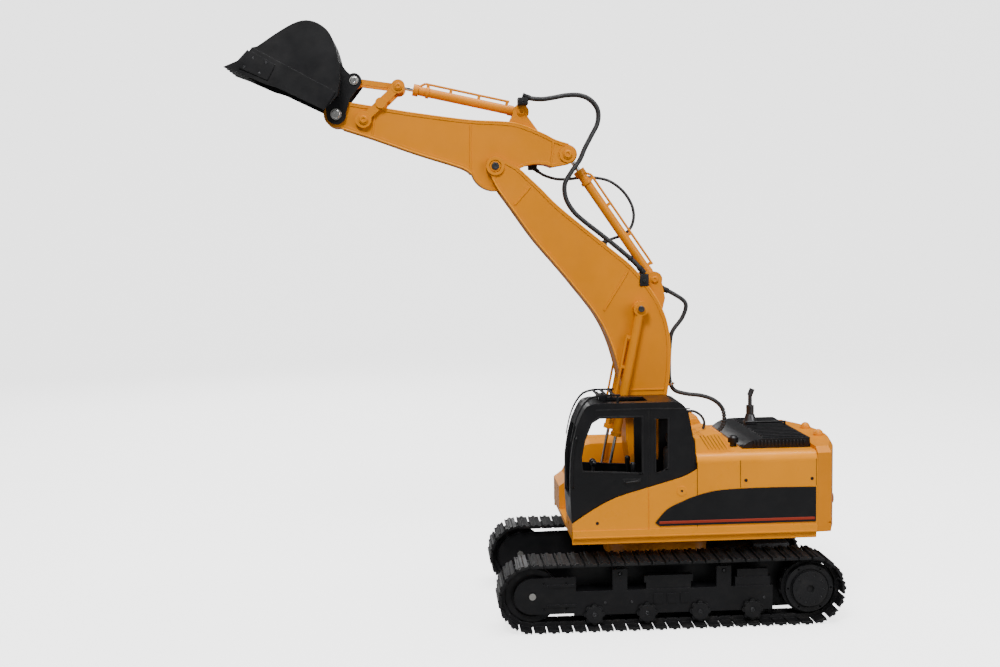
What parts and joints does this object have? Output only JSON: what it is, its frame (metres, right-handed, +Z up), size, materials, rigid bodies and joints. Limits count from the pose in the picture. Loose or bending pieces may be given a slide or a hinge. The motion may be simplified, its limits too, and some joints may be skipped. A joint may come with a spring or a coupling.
{
  "type": "rc excavator",
  "caption": "Remote-control tracked excavator: two crawler tracks, a slewing house with an open cab, and a boom, stick and bucket on model hydraulic cylinders.",
  "frame": {"origin": "the middle of the object's box in plan, on the ground under the tracks, with the arm raised as at rest", "axes": "+X forwards towards the bucket, +Y to the machine's left (the cab side), +Z up"},
  "size_m": [0.5526, 0.1836, 0.5446],
  "materials": {
    "yellow_paint": "semi-gloss yellow enamel on the metal arm, bracket and counterweight",
    "yellow_plastic": "satin yellow moulded plastic of the house",
    "black_plastic": "fine-grained black moulded plastic of the cab and trim",
    "dark_plastic": "dark grey moulded plastic of the seat and wheels",
    "track_plastic": "dull dark track links",
    "black_paint": "satin black enamel on the bucket and track frames",
    "steel": "bright turned steel of pins and gears",
    "rod_chrome": "polished cylinder rods",
    "dark_metal": "darkened steel of motors and exhaust",
    "hose_rubber": "matt black hydraulic hose",
    "board_green": "printed circuit board",
    "battery_wrap": "blue shrink wrap of the battery"
  },
  "bodies": {
    "undercarriage": {"undercarriage_frame": "black_paint", "slew_ring": "steel", "travel_motors": "dark_metal", "wheel_axles": "steel", "track_frame_left": "black_paint", "track_frame_right": "black_paint", "track_left": "track_plastic", "track_right": "track_plastic"},
    "house": {"turntable": "yellow_plastic", "boom_bracket": "yellow_paint", "shell_left": "yellow_plastic", "shell_right": "yellow_plastic", "hood": "yellow_plastic", "counterweight": "yellow_paint", "side_panels": "black_plastic", "engine_cover": "black_plastic", "hood_rails": "black_plastic", "exhaust": "dark_metal", "pre_cleaner": "black_plastic", "cab": "black_plastic", "cab_seat": "dark_plastic", "cab_levers": "black_plastic", "roof_guard": "black_plastic", "battery_pack": "battery_wrap", "battery_door": "black_plastic", "circuit_board": "board_green", "slew_motor": "steel", "house_pins": "yellow_paint", "house_hose": "hose_rubber"},
    "slew_pinion": {"slew_pinion": "steel"},
    "power_switch": {"power_switch": "black_plastic"},
    "boom": {"boom": "yellow_paint", "boom_pins": "yellow_paint", "stick_hoses": "hose_rubber", "loop_hose": "hose_rubber", "boom_hose": "hose_rubber"},
    "boom_barrels": {"boom_cylinder_barrels": "yellow_paint"},
    "boom_rods": {"boom_cylinder_rods": "rod_chrome"},
    "stick": {"stick": "yellow_paint", "stick_pins": "yellow_paint"},
    "stick_barrel": {"stick_cylinder_barrel": "yellow_paint"},
    "stick_rod": {"stick_cylinder_rod": "rod_chrome"},
    "bucket_barrel": {"bucket_cylinder_barrel": "yellow_paint"},
    "bucket_rod": {"bucket_cylinder_rod": "rod_chrome"},
    "rocker": {"rocker": "yellow_paint"},
    "link": {"link": "yellow_paint"},
    "bucket": {"bucket": "black_paint", "bucket_pins": "steel"},
    "sprocket_left": {"sprocket_left": "dark_plastic"},
    "idler_left": {"idler_left": "dark_plastic"},
    "roller_left_1": {"roller_left_1": "dark_plastic"},
    "roller_left_2": {"roller_left_2": "dark_plastic"},
    "roller_left_3": {"roller_left_3": "dark_plastic"},
    "roller_left_4": {"roller_left_4": "dark_plastic"},
    "sprocket_right": {"sprocket_right": "dark_plastic"},
    "idler_right": {"idler_right": "dark_plastic"},
    "roller_right_1": {"roller_right_1": "dark_plastic"},
    "roller_right_2": {"roller_right_2": "dark_plastic"},
    "roller_right_3": {"roller_right_3": "dark_plastic"},
    "roller_right_4": {"roller_right_4": "dark_plastic"}
  },
  "joints": [
    {"name": "slew", "type": "hinge", "parent": "undercarriage", "child": "house", "pos_m": [-0.11135, 0, 0.08], "axis": [0, 0, 1], "range_deg": [-340, 340]},
    {"name": "slew_pinion_spin", "type": "hinge", "parent": "house", "child": "slew_pinion", "pos_m": [-0.14135, 0, 0.06], "axis": [0, 0, 1], "range_deg": [-1020, 1020]},
    {"name": "power_switch_slide", "type": "slide", "parent": "house", "child": "power_switch", "axis": [0, 1, 0], "range_m": [0, 0.003]},
    {"name": "boom_lift", "type": "hinge", "parent": "house", "child": "boom", "pos_m": [-0.09935, 0, 0.138], "axis": [0, 1, 0], "range_deg": [0, 45], "deforming": ["boom_hose"]},
    {"name": "boom_rods_turn", "type": "hinge", "parent": "house", "child": "boom_rods", "pos_m": [-0.06135, 0, 0.116], "axis": [0, 1, 0], "range_deg": [0, 41]},
    {"name": "boom_barrels_turn", "type": "hinge", "parent": "boom", "child": "boom_barrels", "pos_m": [-0.09535, 0, 0.2825], "axis": [0, 1, 0], "range_deg": [-7, 0]},
    {"name": "stick_swing", "type": "hinge", "parent": "boom", "child": "stick", "pos_m": [0.03665, 0, 0.4155], "axis": [0, 1, 0], "range_deg": [0, 50], "deforming": ["stick_hoses", "loop_hose"]},
    {"name": "stick_barrel_turn", "type": "hinge", "parent": "boom", "child": "stick_barrel", "pos_m": [-0.11135, 0, 0.3085], "axis": [0, 1, 0], "range_deg": [-2, 0]},
    {"name": "stick_rod_slide", "type": "slide", "parent": "stick_barrel", "child": "stick_rod", "axis": [0.561, 0, 0.8278], "range_m": [0, 0.057]},
    {"name": "bucket_curl", "type": "hinge", "parent": "stick", "child": "bucket", "pos_m": [0.18015, 0, 0.464], "axis": [0, 1, 0], "range_deg": [0, 80]},
    {"name": "rocker_turn", "type": "hinge", "parent": "stick", "child": "rocker", "pos_m": [0.15565, 0, 0.459], "axis": [0, 1, 0], "range_deg": [0, 68]},
    {"name": "link_turn", "type": "hinge", "parent": "bucket", "child": "link", "pos_m": [0.16315, 0, 0.494], "axis": [0, 1, 0], "range_deg": [-53, 0]},
    {"name": "bucket_barrel_turn", "type": "hinge", "parent": "stick", "child": "bucket_barrel", "pos_m": [0.01165, 0, 0.465], "axis": [0, 1, 0], "range_deg": [-3, 0]},
    {"name": "bucket_rod_slide", "type": "slide", "parent": "bucket_barrel", "child": "bucket_rod", "axis": [0.976, 0, 0.2178], "range_m": [0, 0.05]},
    {"name": "sprocket_left_spin", "type": "hinge", "parent": "undercarriage", "child": "sprocket_left", "pos_m": [-0.23635, 0.072, 0.0315], "axis": [0, 1, 0], "continuous": true},
    {"name": "idler_left_spin", "type": "hinge", "parent": "undercarriage", "child": "idler_left", "pos_m": [0.01365, 0.072, 0.0315], "axis": [0, 1, 0], "continuous": true},
    {"name": "roller_left_1_spin", "type": "hinge", "parent": "undercarriage", "child": "roller_left_1", "pos_m": [-0.04135, 0.072, 0.014], "axis": [0, 1, 0], "continuous": true},
    {"name": "roller_left_2_spin", "type": "hinge", "parent": "undercarriage", "child": "roller_left_2", "pos_m": [-0.08885, 0.072, 0.014], "axis": [0, 1, 0], "continuous": true},
    {"name": "roller_left_3_spin", "type": "hinge", "parent": "undercarriage", "child": "roller_left_3", "pos_m": [-0.13685, 0.072, 0.014], "axis": [0, 1, 0], "continuous": true},
    {"name": "roller_left_4_spin", "type": "hinge", "parent": "undercarriage", "child": "roller_left_4", "pos_m": [-0.18435, 0.072, 0.014], "axis": [0, 1, 0], "continuous": true},
    {"name": "sprocket_right_spin", "type": "hinge", "parent": "undercarriage", "child": "sprocket_right", "pos_m": [-0.23635, -0.072, 0.0315], "axis": [0, 1, 0], "continuous": true},
    {"name": "idler_right_spin", "type": "hinge", "parent": "undercarriage", "child": "idler_right", "pos_m": [0.01365, -0.072, 0.0315], "axis": [0, 1, 0], "continuous": true},
    {"name": "roller_right_1_spin", "type": "hinge", "parent": "undercarriage", "child": "roller_right_1", "pos_m": [-0.04135, -0.072, 0.014], "axis": [0, 1, 0], "continuous": true},
    {"name": "roller_right_2_spin", "type": "hinge", "parent": "undercarriage", "child": "roller_right_2", "pos_m": [-0.08885, -0.072, 0.014], "axis": [0, 1, 0], "continuous": true},
    {"name": "roller_right_3_spin", "type": "hinge", "parent": "undercarriage", "child": "roller_right_3", "pos_m": [-0.13685, -0.072, 0.014], "axis": [0, 1, 0], "continuous": true},
    {"name": "roller_right_4_spin", "type": "hinge", "parent": "undercarriage", "child": "roller_right_4", "pos_m": [-0.18435, -0.072, 0.014], "axis": [0, 1, 0], "continuous": true}
  ],
  "couplings": [
    {"joint": "slew_pinion_spin", "follows": "slew", "ratio": 3},
    {"joint": "boom_rods_turn", "follows": "boom_lift", "ratio": 0.883},
    {"joint": "boom_barrels_turn", "follows": "boom_lift", "ratio": -0.117},
    {"joint": "stick_barrel_turn", "follows": "stick_swing", "ratio": -0.017},
    {"joint": "stick_rod_slide", "follows": "stick_swing", "m_per_rad": 0.0643},
    {"joint": "rocker_turn", "follows": "bucket_curl", "ratio": 0.842},
    {"joint": "link_turn", "follows": "bucket_curl", "ratio": -0.65},
    {"joint": "bucket_barrel_turn", "follows": "bucket_curl", "ratio": -0.018},
    {"joint": "bucket_rod_slide", "follows": "bucket_curl", "m_per_rad": 0.0346},
    {"joint": "idler_left_spin", "follows": "sprocket_left_spin", "ratio": 1},
    {"joint": "roller_left_1_spin", "follows": "sprocket_left_spin", "ratio": 4.1045},
    {"joint": "roller_left_2_spin", "follows": "sprocket_left_spin", "ratio": 4.1045},
    {"joint": "roller_left_3_spin", "follows": "sprocket_left_spin", "ratio": 4.1045},
    {"joint": "roller_left_4_spin", "follows": "sprocket_left_spin", "ratio": 4.1045},
    {"joint": "idler_right_spin", "follows": "sprocket_right_spin", "ratio": 1},
    {"joint": "roller_right_1_spin", "follows": "sprocket_right_spin", "ratio": 4.1045},
    {"joint": "roller_right_2_spin", "follows": "sprocket_right_spin", "ratio": 4.1045},
    {"joint": "roller_right_3_spin", "follows": "sprocket_right_spin", "ratio": 4.1045},
    {"joint": "roller_right_4_spin", "follows": "sprocket_right_spin", "ratio": 4.1045}
  ]
}
